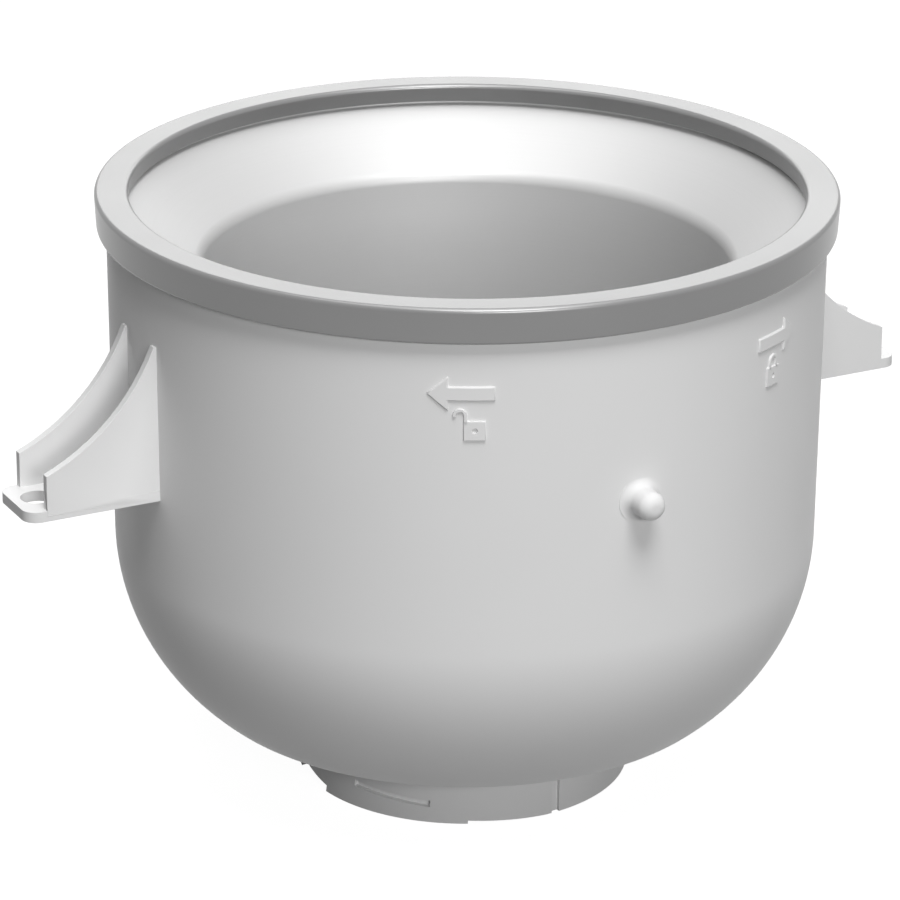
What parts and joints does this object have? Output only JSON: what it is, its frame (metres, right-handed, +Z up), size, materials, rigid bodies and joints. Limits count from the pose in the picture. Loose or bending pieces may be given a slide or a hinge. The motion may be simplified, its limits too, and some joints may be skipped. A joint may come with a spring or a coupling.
{
  "type": "ice cream maker freezer bowl",
  "caption": "Round double-walled freezer bowl of an ice cream maker, with a grey rim, ribbed side brackets, a locating stud and a pull-off twist-lock base ring.",
  "frame": {"origin": "on the table under the middle of the base ring", "axes": "+Z up along the bowl's axis, brackets along X, locating stud along -Y"},
  "size_m": [0.288, 0.221, 0.1816],
  "materials": {
    "white_plastic": "satin moulded",
    "liner_metal": "satin",
    "grey_plastic": "satin",
    "seal_rubber": "matt",
    "gel": "translucent gel"
  },
  "bodies": {
    "base": {"base_ring": "white_plastic"},
    "vessel": {"outer_shell": "white_plastic", "inner_liner": "liner_metal", "rim_ring": "grey_plastic", "rim_gasket": "seal_rubber", "refrigerant_gel": "gel", "fill_plug": "white_plastic", "fill_plug_seal": "seal_rubber"}
  },
  "joints": [
    {"name": "bowl_lift", "type": "slide", "parent": "base", "child": "vessel", "axis": [0, 0, 1], "range_m": [0, 0.017]}
  ]
}
